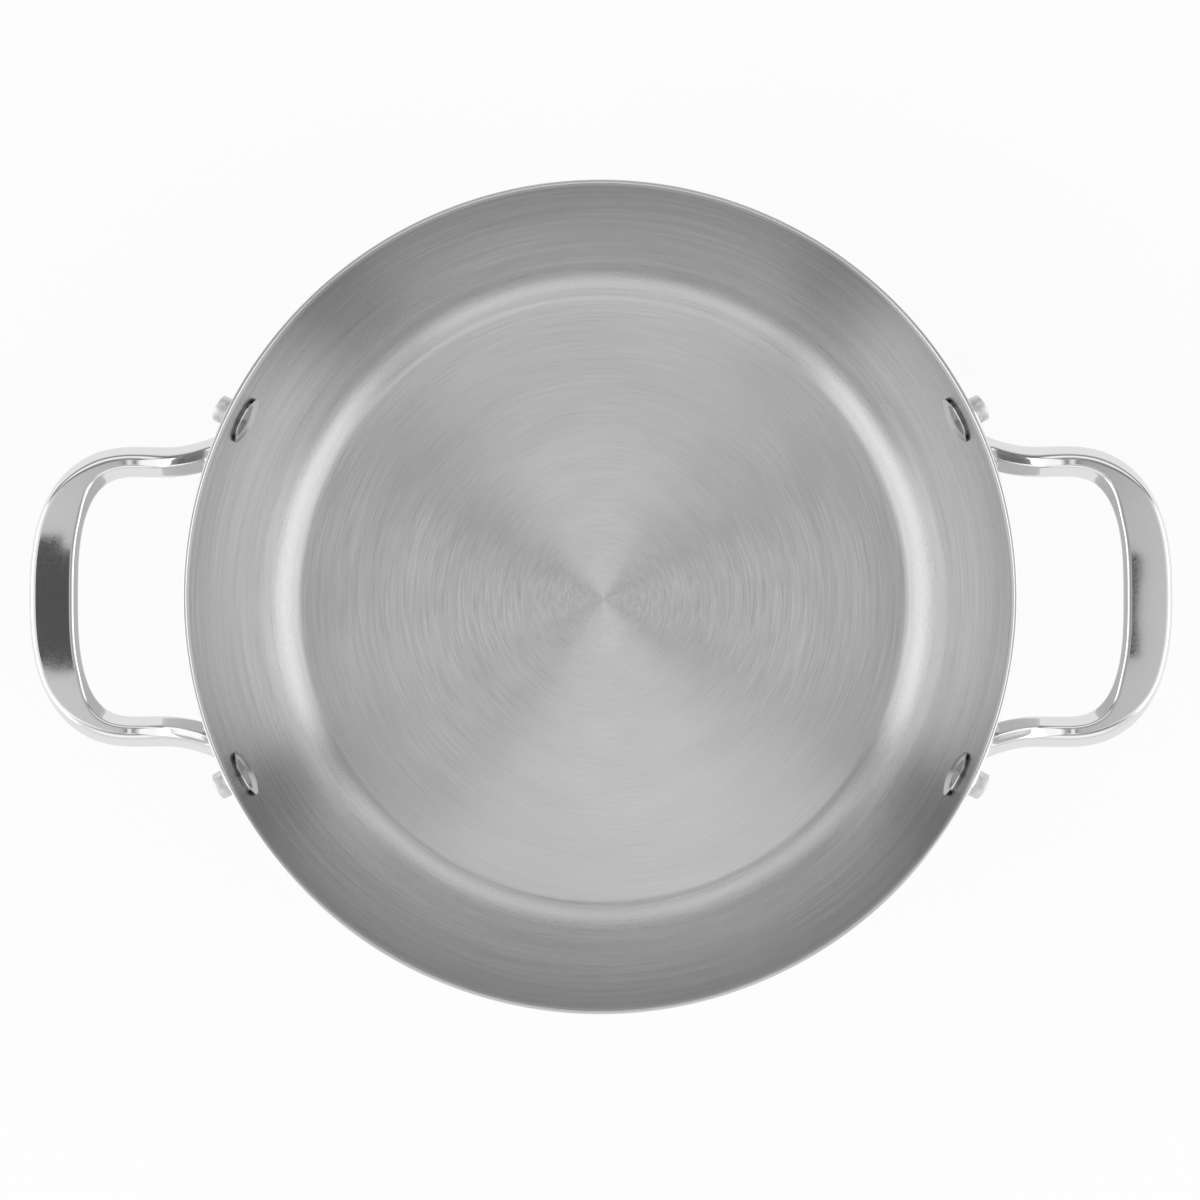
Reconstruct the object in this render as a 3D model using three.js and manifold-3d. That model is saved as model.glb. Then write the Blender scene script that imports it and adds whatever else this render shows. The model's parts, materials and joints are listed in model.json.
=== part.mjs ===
// Two-handled stainless steel casserole pot, in millimetres, +Z up.
// The origin is on the pot's axis, in the plane that the base stands on. The handles lie along X.

import * as THREE from 'three';
import { mergeVertices } from 'three/addons/utils/BufferGeometryUtils.js';
import Module from 'manifold-3d';

const wasm = await Module();
wasm.setup();

// Pot shell
const rimRadius = 120; // outside, at the rim
const wallThickness = 1.1;
const innerDepth = 112; // rim to cooking surface
const wallTaper = 5.5; // degrees off vertical, wider at the rim
const baseFillet = 13; // inside radius between floor and wall
const rimRound = 0.4;

// Disc base
const coreThickness = 5;
const coreInset = 1; // core's edge inside the flat floor's edge
const capThickness = 0.8;
const capClearance = 0.3; // cap to core at the side, and cap's lip to shell
const capCornerRadius = 2.4;

// Handle, in plan
const fingerDepth = 31; // rim to the grip's inner edge
const gripWidth = 15;
const legSpan = 78.3; // between the centre lines of the two legs
const legWidth = 9.9;
const legStraight = 14; // straight part of a leg, past the rim
const outerSquareness = 2.45; // exponent of the outer outline's rounded corner
const innerSquareness = 2.85;
const flareStart = 8; // where a leg starts to widen into its foot, past the rim
const flareRadius = 29; // outer side of a leg, away from the finger opening
const heelRadius = 35; // inner side of a leg

// Handle, in height and section
const gripDrop = 3; // rim to the grip's top face
const handleThickness = 8;
const riseAngle = 33; // degrees, slope of a leg as it leaves its foot
const bendStart = 17.5; // where the level top face bends down to the foot, past the rim
const bendRadius = 22; // top face, from the slope to level
const legShoulder = 3.3; // width of a leg's sloping sides in plan
const gripOuterShoulder = 1.8;
const gripInnerShoulder = 1;
const waistDrop = 5; // top face to the widest line of the section
const undersideInset = 2.5;
const topEdgeRound = 0.7;
const waistRound = 2;
const undersideRound = 2.6;
const roundShare = 0.4; // most of a side that a rounded corner may take

// Handle feet
const footThickness = 2.6;
const footClearance = 0.3; // foot to wall
const footRadius = 8.5; // round the rivet
const footMargin = 1.3; // foot past the leg's root
const footEdgeRound = 0.8;
const rivetSink = 0.3; // rivet below the middle of the leg's root
const headMargin = 1.4; // from the flare's end to the rivet's head

// Rivets
const shankDiameter = 6;
const innerHeadDiameter = 14.1;
const innerHeadHeight = 2.4;
const innerHeadEdge = 0.8;
const outerHeadDiameter = 8;
const outerHeadHeight = 5;
const outerHeadEdge = 4.1;
const shankClearance = 0.3;
const drillOverrun = 5; // how far a rivet's drill runs past the sheets
const seatClearance = 0.2;

// Fineness
const wallFacets = 72;
const rivetFacets = 20;
const filletSteps = 6;
const edgeSteps = 2;
const domeSteps = 5;
const capSteps = 4;
const sectionSteps = 3; // points on each rounded corner of the handle's section
const footSteps = 4;
const legSteps = 5;
const cornerSteps = 8;
const blendStart = 20; // degrees round the corner, where the leg's section turns into the grip's
const blendEnd = 62;
const searchSteps = 40;
const searchStride = 1;

const { degToRad, lerp, smoothstep } = THREE.MathUtils;

// Heights and radii that follow from the sizes above
const taper = degToRad(wallTaper);
const floorUnder = capThickness + coreThickness;
const floorTop = floorUnder + wallThickness;
const rimHeight = floorTop + innerDepth;
const wallAcross = wallThickness / Math.cos(taper);
const filletHeight = floorTop + baseFillet;
const outerRadiusAt = (z) => rimRadius - (rimHeight - z) * Math.tan(taper);
const innerRadiusAt = (z) => outerRadiusAt(z) - wallAcross;
const floorRadius = innerRadiusAt(filletHeight) - baseFillet / Math.cos(taper);
const footFaceAt = (z) => outerRadiusAt(z) + footClearance + footThickness;

function arcPoints(centreX, centreY, radius, startAngle, endAngle, steps) {
  const points = [];
  for (let i = 0; i <= steps; i += 1) {
    const angle = lerp(startAngle, endAngle, i / steps);
    points.push(new THREE.Vector2(centreX + radius * Math.cos(angle), centreY + radius * Math.sin(angle)));
  }
  return points;
}

// Merges shared vertices and drops the empty triangles that a lathe leaves on its axis.
function weld(geometry) {
  const bare = geometry.clone();
  bare.deleteAttribute('normal');
  bare.deleteAttribute('uv');
  const merged = mergeVertices(bare);
  const corners = merged.index.array;
  const kept = [];
  for (let i = 0; i < corners.length; i += 3) {
    const [a, b, c] = corners.slice(i, i + 3);
    if (a !== b && b !== c && c !== a) {
      kept.push(a, b, c);
    }
  }
  merged.setIndex(kept);
  merged.computeVertexNormals();
  return merged;
}

function toSolid(geometry) {
  const welded = weld(geometry);
  return new wasm.Manifold(new wasm.Mesh({
    numProp: 3,
    vertProperties: new Float32Array(welded.attributes.position.array),
    triVerts: new Uint32Array(welded.index.array),
  }));
}

function toGeometry(solid) {
  const mesh = solid.getMesh();
  const geometry = new THREE.BufferGeometry();
  geometry.setAttribute('position', new THREE.BufferAttribute(mesh.vertProperties, 3));
  geometry.setIndex(new THREE.BufferAttribute(mesh.triVerts, 1));
  geometry.computeVertexNormals();
  return geometry;
}

// Turns a profile of (radius, height) points round the Z axis.
function turned(profile, facets) {
  return new THREE.LatheGeometry(profile, facets).rotateX(Math.PI / 2);
}

function shellGeometry() {
  const down = -Math.PI / 2;
  const rimCentre = rimHeight - rimRound;
  const profile = [
    new THREE.Vector2(0, floorUnder),
    ...arcPoints(floorRadius, filletHeight, baseFillet + wallThickness, down, -taper, filletSteps),
    ...arcPoints(outerRadiusAt(rimCentre) - rimRound, rimCentre, rimRound, 0, Math.PI / 2, edgeSteps),
    ...arcPoints(innerRadiusAt(rimCentre) + rimRound, rimCentre, rimRound, Math.PI / 2, Math.PI, edgeSteps),
    ...arcPoints(floorRadius, filletHeight, baseFillet, -taper, down, filletSteps),
    new THREE.Vector2(0, floorTop),
  ];
  return turned(profile, wallFacets);
}

const coreRadius = floorRadius - coreInset;

function coreGeometry() {
  const profile = [
    new THREE.Vector2(0, capThickness),
    new THREE.Vector2(coreRadius, capThickness),
    new THREE.Vector2(coreRadius, floorUnder),
    new THREE.Vector2(0, floorUnder),
  ];
  return turned(profile, wallFacets);
}

function capGeometry() {
  const inside = coreRadius + capClearance;
  const outside = inside + capThickness;
  const lip = floorUnder - capClearance;
  const corner = capCornerRadius;
  const profile = [
    new THREE.Vector2(0, 0),
    ...arcPoints(outside - corner, corner, corner, -Math.PI / 2, 0, capSteps),
    new THREE.Vector2(outside, lip),
    new THREE.Vector2(inside, lip),
    new THREE.Vector2(inside, capThickness),
    new THREE.Vector2(0, capThickness),
  ];
  return turned(profile, wallFacets);
}

// The handle's section: points across (0 at the finger side) and down from the top face.
function sectionPoints(width, outerShoulder, innerShoulder) {
  const corners = [
    [innerShoulder, 0, topEdgeRound],
    [0, waistDrop, waistRound],
    [undersideInset, handleThickness, undersideRound],
    [width - undersideInset, handleThickness, undersideRound],
    [width, waistDrop, waistRound],
    [width - outerShoulder, 0, topEdgeRound],
  ].map(([across, down, round]) => ({ at: new THREE.Vector2(across, down), round }));
  const points = [];
  corners.forEach((corner, i) => {
    const before = corners[(i + corners.length - 1) % corners.length].at;
    const after = corners[(i + 1) % corners.length].at;
    const reach = (other) => Math.min(corner.round, roundShare * corner.at.distanceTo(other));
    const start = corner.at.clone().add(before.clone().sub(corner.at).setLength(reach(before)));
    const end = corner.at.clone().add(after.clone().sub(corner.at).setLength(reach(after)));
    const bend = new THREE.QuadraticBezierCurve(start, corner.at, end);
    points.push(...bend.getPoints(sectionSteps - 1));
    points.push(corner.at.clone().add(after).divideScalar(2));
  });
  return points;
}

// Leg outline: the two sides run straight and spread near the wall, and the top bends down to the foot.
const cornerX = rimRadius + legStraight;
const gripTop = rimHeight - gripDrop;
const slopeAngle = degToRad(riseAngle);
const bendX = rimRadius + bendStart;
const bendEndX = bendX - bendRadius * Math.sin(slopeAngle);
const spread = (x, radius) => Math.max(0, rimRadius + flareStart - x) ** 2 / (2 * radius);
const legInnerY = (x) => (legSpan - legWidth) / 2 + spread(x, heelRadius);
const legOuterY = (x) => (legSpan + legWidth) / 2 + spread(x, flareRadius);

function topAt(x) {
  if (x >= bendX) {
    return { z: gripTop, slope: 0 };
  }
  const slope = x > bendEndX ? Math.asin((bendX - x) / bendRadius) : slopeAngle;
  const straight = Math.max(0, bendEndX - x) * Math.tan(slopeAngle);
  return { z: gripTop - bendRadius * (1 - Math.cos(slope)) - straight, slope };
}

// A point of the leg at a distance x from the pot's axis; across runs from 0 to 1, down from the top face.
function legPoint(x, across, down) {
  const top = topAt(x);
  const y = lerp(legInnerY(x), legOuterY(x), across);
  return new THREE.Vector3(x, y, top.z - down / Math.cos(top.slope));
}

// Narrows a stretch, from a value that passes the test to one that fails it, down to where it turns.
function turningPoint(passes, good, bad) {
  let [inside, outside] = [good, bad];
  for (let i = 0; i < searchSteps; i += 1) {
    const middle = (inside + outside) / 2;
    if (passes(middle)) {
      inside = middle;
    } else {
      outside = middle;
    }
  }
  return inside;
}

// Where a line along the leg, followed towards the pot, meets the outer face of the foot.
function rootX(across, down) {
  const outOfFoot = (x) => {
    const point = legPoint(x, across, down);
    return Math.hypot(point.x, point.y) > footFaceAt(point.z);
  };
  let clear = cornerX;
  while (outOfFoot(clear - searchStride)) {
    clear -= searchStride;
  }
  return turningPoint(outOfFoot, clear, clear - searchStride);
}

// The foot is drawn flat, as distance along the wall and height, and then laid on the wall.
const rootMiddle = legPoint(rootX(0.5, handleThickness / 2), 0.5, handleThickness / 2);
const footFaceRadius = footFaceAt(rootMiddle.z);
const flatOf = (point) => new THREE.Vector2(footFaceRadius * Math.atan2(point.y, point.x), point.z);

function onWall(flat, standOff) {
  const angle = flat.x / footFaceRadius;
  const radius = outerRadiusAt(flat.y) + footClearance + standOff;
  return new THREE.Vector3(radius * Math.cos(angle), radius * Math.sin(angle), flat.y);
}

const legSection = sectionPoints(legWidth, legShoulder, legShoulder);
const rootRing = legSection.map(({ x, y }) => legPoint(rootX(x / legWidth, y), x / legWidth, y));
const rootFlat = rootRing.map(flatOf);
const rootBox = new THREE.Box2().setFromPoints(rootFlat);
const rivetFlat = new THREE.Vector2(
  rootBox.max.x + headMargin + outerHeadDiameter / 2,
  rootMiddle.z - rivetSink,
);
const heelCircleRadius = (rootBox.max.y - rootBox.min.y) / 2 + footMargin;
const heelCircle = new THREE.Vector2(
  rootBox.min.x - footMargin + heelCircleRadius,
  (rootBox.max.y + rootBox.min.y) / 2,
);

// The foot's edge is a belt round the heel and rivet circles, and is found by even spokes from its middle.
// The first spoke is the one after the middle of the leg's top face.
const footCentre = heelCircle.clone().add(rivetFlat).divideScalar(2);

function footEdge(spoke, count) {
  const angle = Math.PI / 2 + 2 * Math.PI * ((spoke + 1) / count);
  const direction = new THREE.Vector2(Math.cos(angle), Math.sin(angle));
  const farOff = rivetFlat.distanceTo(heelCircle) + footRadius + heelCircleRadius;
  const along = (distance) => footCentre.clone().addScaledVector(direction, distance);
  return along(turningPoint((distance) => beltDepth(along(distance)) > 0, 0, farOff));
}

// How far a flat point lies inside the belt: the best over circles sliding from the heel to the rivet.
function beltDepth(point) {
  const axis = rivetFlat.clone().sub(heelCircle);
  const length = axis.length();
  const along = point.clone().sub(heelCircle).dot(axis) / length;
  const aside = Math.abs(point.clone().sub(heelCircle).cross(axis)) / length;
  const lean = (footRadius - heelCircleRadius) / length;
  const foot = along + aside * lean / Math.sqrt(1 - lean * lean);
  const slide = THREE.MathUtils.clamp(foot / length, 0, 1);
  const centre = heelCircle.clone().addScaledVector(axis, slide);
  return lerp(heelCircleRadius, footRadius, slide) - point.distanceTo(centre);
}

// Rings of the foot, from the middle of its back, over its edge, to the root of the leg.
function footRings() {
  const edge = rootFlat.map((flat, j) => footEdge(j, rootFlat.length));
  const inset = edge.map((flat) => {
    const inward = footCentre.clone().sub(flat).setLength(footEdgeRound);
    return flat.clone().add(inward);
  });
  const laid = (flats, standOff) => flats.map((flat) => onWall(flat, standOff));
  const rings = [];
  for (let i = 1; i <= footSteps; i += 1) {
    rings.push(laid(edge.map((flat) => footCentre.clone().lerp(flat, i / footSteps)), 0));
  }
  rings.push(laid(edge, footThickness - footEdgeRound));
  rings.push(laid(inset, footThickness));
  rings.push(laid(inset.map((flat, j) => flat.clone().lerp(rootFlat[j], 0.5)), footThickness));
  return rings;
}

function legRings() {
  const rings = [rootRing];
  for (let i = 1; i <= legSteps; i += 1) {
    rings.push(legSection.map(({ x, y }) => {
      const across = x / legWidth;
      return legPoint(lerp(rootX(across, y), cornerX, i / legSteps), across, y);
    }));
  }
  return rings;
}

// A point of a rounded corner outline: angle 0 ends the leg, a quarter turn is the middle of the grip.
function cornerPoint(angle, reach, halfSpan, squareness) {
  const sine = Math.max(0, Math.sin(angle)) ** (2 / squareness);
  const cosine = Math.max(0, Math.cos(angle)) ** (2 / squareness);
  return new THREE.Vector2(cornerX + reach * sine, halfSpan * cosine);
}

function cornerRings() {
  const rings = [];
  const innerReach = fingerDepth - legStraight;
  for (let i = 1; i <= cornerSteps; i += 1) {
    const angle = (Math.PI / 2) * (i / cornerSteps);
    const inner = cornerPoint(angle, innerReach, (legSpan - legWidth) / 2, innerSquareness);
    const outer = cornerPoint(angle, innerReach + gripWidth, (legSpan + legWidth) / 2, outerSquareness);
    const width = inner.distanceTo(outer);
    const blend = smoothstep(angle, degToRad(blendStart), degToRad(blendEnd));
    const outerShoulder = lerp(legShoulder, gripOuterShoulder, blend);
    const innerShoulder = lerp(legShoulder, gripInnerShoulder, blend);
    rings.push(sectionPoints(width, outerShoulder, innerShoulder).map(({ x, y }) => {
      const plan = inner.clone().lerp(outer, x / width);
      const top = topAt(plan.x);
      return new THREE.Vector3(plan.x, plan.y, top.z - y / Math.cos(top.slope));
    }));
  }
  return rings;
}

// Closed skin over a row of rings, with a point in the middle of each end.
function skinned(rings, firstTip, lastTip) {
  const count = rings[0].length;
  const points = [...rings.flat(), firstTip, lastTip];
  const triangles = [];
  const tipIndex = rings.length * count;
  for (let j = 0; j < count; j += 1) {
    const next = (j + 1) % count;
    triangles.push(tipIndex, next, j);
    for (let i = 0; i < rings.length - 1; i += 1) {
      const here = i * count;
      const there = here + count;
      triangles.push(here + j, there + next, there + j);
      triangles.push(here + j, here + next, there + next);
    }
    const end = (rings.length - 1) * count;
    triangles.push(tipIndex + 1, end + j, end + next);
  }
  const geometry = new THREE.BufferGeometry();
  geometry.setAttribute('position', new THREE.Float32BufferAttribute(points.flatMap((p) => p.toArray()), 3));
  geometry.setIndex(triangles);
  return geometry;
}

// The rivet's place: its axis stands square on the wall, through the middle of the sheet.
const rivetAngle = rivetFlat.x / footFaceRadius;
const rivetHeight = rivetFlat.y;
const rivetRadius = (outerRadiusAt(rivetHeight) + innerRadiusAt(rivetHeight)) / 2;

function placeRivet(object, angle) {
  const outward = new THREE.Vector3(Math.cos(taper), 0, -Math.sin(taper));
  object.quaternion.setFromUnitVectors(new THREE.Vector3(0, 1, 0), outward);
  object.position.set(rivetRadius, 0, rivetHeight);
  const arm = new THREE.Group();
  arm.rotation.z = angle;
  arm.add(object);
  return arm;
}

// A bar along a rivet's axis, as wide as the hole for its shank.
function rivetHole(angle) {
  const length = 2 * (wallThickness + footClearance + footThickness + drillOverrun);
  const radius = shankDiameter / 2 + shankClearance;
  const bar = new THREE.Mesh(new THREE.CylinderGeometry(radius, radius, length, rivetFacets));
  placeRivet(bar, angle).updateMatrixWorld(true);
  return toSolid(bar.geometry.applyMatrix4(bar.matrixWorld));
}

function drilled(geometry, angles) {
  const solid = angles.reduce((rest, angle) => rest.subtract(rivetHole(angle)), toSolid(geometry));
  return toGeometry(solid);
}

function handleGeometry() {
  const half = [...footRings(), ...legRings(), ...cornerRings()];
  const mirrored = (point) => new THREE.Vector3(point.x, -point.y, point.z);
  const otherHalf = half.slice(0, -1).reverse().map((ring) => ring.map(mirrored));
  const tip = onWall(footCentre, 0);
  const skin = skinned([...half, ...otherHalf], tip, mirrored(tip));
  return drilled(skin, [rivetAngle, -rivetAngle]);
}

// A low dome's outline, from its edge to its top on the axis, with direction +1 or -1 along the axis.
function domePoints(radius, edgeAt, rise, direction) {
  const sphere = (radius * radius + rise * rise) / (2 * rise);
  const points = [];
  for (let i = 0; i <= domeSteps; i += 1) {
    const angle = Math.asin(radius / sphere) * (1 - i / domeSteps);
    const height = rise - sphere * (1 - Math.cos(angle));
    points.push(new THREE.Vector2(sphere * Math.sin(angle), edgeAt + direction * height));
  }
  return points;
}

// Rivet along Y, outward, with 0 in the middle of the pot's wall.
function rivetGeometry() {
  const shank = shankDiameter / 2;
  const innerHead = innerHeadDiameter / 2;
  const outerHead = outerHeadDiameter / 2;
  const wallHollow = innerHead ** 2 / (2 * innerRadiusAt(rivetHeight));
  const innerSeat = -wallThickness / 2 - wallHollow - seatClearance;
  const outerSeat = wallThickness / 2 + footClearance + footThickness + seatClearance;
  const profile = [
    ...domePoints(innerHead, innerSeat - innerHeadEdge, innerHeadHeight - innerHeadEdge, -1).reverse(),
    new THREE.Vector2(innerHead, innerSeat),
    new THREE.Vector2(shank, innerSeat),
    new THREE.Vector2(shank, outerSeat),
    new THREE.Vector2(outerHead, outerSeat),
    ...domePoints(outerHead, outerSeat + outerHeadEdge, outerHeadHeight - outerHeadEdge, 1),
  ];
  return new THREE.LatheGeometry(profile, rivetFacets);
}

const brushedSteel = new THREE.MeshStandardMaterial({ color: 0xc4c4c2, roughness: 0.38, metalness: 1 });
const polishedSteel = new THREE.MeshStandardMaterial({ color: 0xd2d2d0, roughness: 0.1, metalness: 1 });
const rivetSteel = new THREE.MeshStandardMaterial({ color: 0xcacac8, roughness: 0.16, metalness: 1 });
const aluminium = new THREE.MeshStandardMaterial({ color: 0xb4b6b8, roughness: 0.5, metalness: 1 });
const capSteel = new THREE.MeshStandardMaterial({ color: 0xb8b8b6, roughness: 0.42, metalness: 1 });

function named(name, geometry, material) {
  const mesh = new THREE.Mesh(geometry, material.clone());
  mesh.name = name;
  return mesh;
}

// One side of the pot: a handle and its two rivets, turned to the side that it stands on.
function handleSide(side, turn, rivetNames) {
  const group = new THREE.Group();
  group.rotation.z = turn;
  group.add(named(`handle_${side}`, weld(handleGeometry()), polishedSteel));
  rivetNames.forEach((name, i) => {
    const rivet = named(`rivet_${side}_${name}`, weld(rivetGeometry()), rivetSteel);
    group.add(placeRivet(rivet, i === 0 ? rivetAngle : -rivetAngle));
  });
  return group;
}

const rivetAngles = [rivetAngle, -rivetAngle, Math.PI + rivetAngle, Math.PI - rivetAngle];
const pot = new THREE.Group();
pot.add(named('pot_body', drilled(shellGeometry(), rivetAngles), brushedSteel));
pot.add(named('core_disc', weld(coreGeometry()), aluminium));
pot.add(named('base_cap', weld(capGeometry()), capSteel));
pot.add(handleSide('right', 0, ['rear', 'front']));
pot.add(handleSide('left', Math.PI, ['front', 'rear']));

export default pot;
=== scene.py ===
import json
import math
import bmesh
import bpy
from mathutils import Matrix, Vector

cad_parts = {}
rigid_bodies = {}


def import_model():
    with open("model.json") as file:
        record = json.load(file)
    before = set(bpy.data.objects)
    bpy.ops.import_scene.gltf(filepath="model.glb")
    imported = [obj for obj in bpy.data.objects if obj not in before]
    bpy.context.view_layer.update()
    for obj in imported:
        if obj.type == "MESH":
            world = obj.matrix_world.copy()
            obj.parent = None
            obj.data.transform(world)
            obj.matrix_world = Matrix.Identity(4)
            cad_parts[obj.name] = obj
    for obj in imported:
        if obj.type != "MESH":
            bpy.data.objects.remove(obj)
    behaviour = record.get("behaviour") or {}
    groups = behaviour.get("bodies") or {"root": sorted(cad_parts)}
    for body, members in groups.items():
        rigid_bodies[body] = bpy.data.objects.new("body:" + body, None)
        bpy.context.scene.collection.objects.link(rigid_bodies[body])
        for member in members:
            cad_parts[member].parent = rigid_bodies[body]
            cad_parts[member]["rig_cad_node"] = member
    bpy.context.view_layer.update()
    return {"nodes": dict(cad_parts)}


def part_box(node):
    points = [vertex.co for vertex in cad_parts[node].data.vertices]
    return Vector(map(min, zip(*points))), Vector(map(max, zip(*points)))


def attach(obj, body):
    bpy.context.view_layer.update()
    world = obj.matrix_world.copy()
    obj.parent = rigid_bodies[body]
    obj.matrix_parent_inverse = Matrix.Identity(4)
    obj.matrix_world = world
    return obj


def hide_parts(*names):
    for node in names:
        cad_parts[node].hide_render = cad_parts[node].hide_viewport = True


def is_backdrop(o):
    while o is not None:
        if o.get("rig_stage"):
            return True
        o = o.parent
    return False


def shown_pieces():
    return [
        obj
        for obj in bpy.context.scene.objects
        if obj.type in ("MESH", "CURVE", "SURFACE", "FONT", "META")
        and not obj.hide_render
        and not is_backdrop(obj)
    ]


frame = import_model()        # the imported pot: metres, +Z up, handles along X
scene = bpy.context.scene
scene.view_settings.view_transform = "Standard"
print("frame loaded,", len(frame["nodes"]), "nodes")

potLow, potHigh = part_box("pot_body")
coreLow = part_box("core_disc")[0]
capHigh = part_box("base_cap")[1]
rimTop = potHigh.z
rimOut = potHigh.y
floorUnder = potLow.z


def lerp(a, b, t):
    return a + (b - a) * t


def smoothStep(value, low, high):
    t = min(1.0, max(0.0, (value - low) / (high - low)))
    return t * t * (3 - 2 * t)


# points of a circle in a profile, angles in degrees
def arc(centre, radius, start, end, steps):
    points = []
    for i in range(steps + 1):
        angle = math.radians(lerp(start, end, i / steps))
        points.append((centre[0] + radius * math.cos(angle), centre[1] + radius * math.sin(angle)))
    return points


# points strictly between two profile points
def between(a, b, steps):
    return [(lerp(a[0], b[0], i / steps), lerp(a[1], b[1], i / steps)) for i in range(1, steps)]


def bezier(a, b, c, t):
    return a * (1 - t) ** 2 + b * 2 * t * (1 - t) + c * t ** 2


# the camera looks almost straight down into the pot
view = dict(
    above=0.90,                  # over the rim
    aside=(0.010, -0.007),       # off the pot's axis, to the right and the front
    aim=(0.00014, -0.0010),      # point in the rim's plane that is in the middle of the picture
    lens=94.0,
    sensor=36.0,
)


def placeCamera():
    data = bpy.data.cameras.new("photoCamera")
    data.lens = view["lens"]
    data.sensor_width = view["sensor"]
    camera = bpy.data.objects.new("photoCamera", data)
    scene.collection.objects.link(camera)
    spot = Vector((*view["aside"], rimTop + view["above"]))
    back = (spot - Vector((*view["aim"], rimTop))).normalized()
    right = Vector((0, 1, 0)).cross(back).normalized()
    turn = Matrix((right, back.cross(right), back)).transposed()
    camera.matrix_world = Matrix.Translation(spot) @ turn.to_4x4()
    scene.camera = camera


placeCamera()
print("camera placed")


# the tent's glow by the tilt from straight up in degrees; 1 is white in a mirror
studio = dict(
    sides=[(0, 0.33), (5, 0.4), (8, 0.58), (10, 0.72), (12, 0.84), (18, 1.28), (26, 1.25), (38, 1.26),
           (50, 1.4), (60, 2.05), (75, 2.9), (88, 2.1)],
    front=[(0, 1.04), (8, 1.04), (13, 0.68), (20, 0.38), (32, 0.84), (42, 1.25), (55, 1.22), (75, 0.95),
           (88, 0.75)],
    back=[(0, 1.03), (3, 0.94), (6, 0.7), (12, 0.45), (20, 0.28), (32, 0.78), (40, 1.23), (47, 1.2),
          (55, 1.0), (61, 0.54), (67, 0.28), (75, 0.3), (82, 0.6), (90, 0.8)],
    # how the front cloth turns into the back one, by the turn from the side to the back
    backShare=[(-90, 0), (-30, 0), (30, 1), (90, 1)],
    # how far the side cloth reaches, by the turn from the side to the back
    rightShare=[(-90, 0), (-44, 0), (-32, 1), (24, 1), (30, 0), (90, 0)],
    leftShare=[(-90, 0), (-54, 0), (-42, 1), (24, 1), (30, 0), (90, 0)],
    # dark ends of the camera's boom, as x/z and y/z from the pot
    boom=[((-0.205, -0.1834), (-0.0155, 0.0275)), ((-0.1834, -0.17), (-0.0155, 0.0225)),
          ((0.148, 0.1602), (-0.012, 0.022))],
    boomDark=0.86,
    boomLevel=0.001,             # least height of a direction, so that x/z and y/z stay finite
    # dark strips at the tent's back and front corners, by the tilt
    seams=[dict(turn=31, depth=[(0, 0.35), (25, 0.35), (40, 0.42), (60, 0.6), (90, 0.6)],
                width=[(0, 14), (20, 14), (40, 6), (60, 7), (90, 14)]),
           dict(turn=-49.5, depth=[(0, 0), (10, 0), (15, 0.34), (40, 0.3), (60, 0.2), (75, 0), (90, 0)],
                width=[(0, 7), (90, 7)])],
    seamEdge=4.0,                # how abrupt the strips' edges are
    floorRadius=25.0,
    floorSides=96,
    floorDrop=0.0004,            # clear of the base's flat face
    floorWhite=(0.86, 0.86, 0.86),
    floorShine=0.88,             # how far the floor is plain white to look at; the rest is its shading
)


def mathNode(tree, operation, first, second=None):
    node = tree.nodes.new("ShaderNodeMath")
    node.operation = operation
    for socket, value in zip(node.inputs, (first, second)):
        if isinstance(value, (int, float)):
            socket.default_value = value
        elif value is not None:
            tree.links.new(value, socket)
    return node.outputs[0]


# grey values at places from 0 to 1
def setStops(ramp, stops):
    elements = ramp.color_ramp.elements
    while len(elements) < len(stops):
        elements.new(0.5)        # moved to its place below
    for element, (place, value) in zip(elements, stops):
        element.position = place
        element.color = (value, value, value, 1)


# a grey value that follows an angle in radians, from stops in degrees
def angleRamp(tree, angle, stops):
    low, high = stops[0][0], stops[-1][0]
    offset = mathNode(tree, "SUBTRACT", angle, math.radians(low))
    share = mathNode(tree, "DIVIDE", offset, math.radians(high - low))
    ramp = tree.nodes.new("ShaderNodeValToRGB")
    tree.links.new(share, ramp.inputs["Fac"])
    setStops(ramp, [((degrees - low) / (high - low), value) for degrees, value in stops])
    return ramp.outputs["Color"]


def mixNode(tree, share, first, second):
    node = tree.nodes.new("ShaderNodeMix")
    tree.links.new(share, node.inputs["Factor"])
    tree.links.new(first, node.inputs["A"])
    tree.links.new(second, node.inputs["B"])
    return node.outputs["Result"]


# how much light a seam leaves, by the distance from its middle over its half width
def seamNode(tree, tilt, turn, seam):
    width = angleRamp(tree, tilt, [(degrees, math.radians(value)) for degrees, value in seam["width"]])
    offset = mathNode(tree, "DIVIDE", mathNode(tree, "SUBTRACT", turn, math.radians(seam["turn"])), width)
    falloff = mathNode(tree, "POWER", mathNode(tree, "ABSOLUTE", offset), studio["seamEdge"])
    spread = mathNode(tree, "ADD", falloff, 1.0)
    depth = angleRamp(tree, tilt, seam["depth"])
    return mathNode(tree, "SUBTRACT", 1.0, mathNode(tree, "DIVIDE", depth, spread))


# 1 inside a box of two ranges
def windowNode(tree, places, ranges):
    inside = []
    for place, (low, high) in zip(places, ranges):
        offset = mathNode(tree, "ABSOLUTE", mathNode(tree, "SUBTRACT", place, (low + high) / 2))
        inside.append(mathNode(tree, "LESS_THAN", offset, (high - low) / 2))
    return mathNode(tree, "MULTIPLY", *inside)


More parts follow.
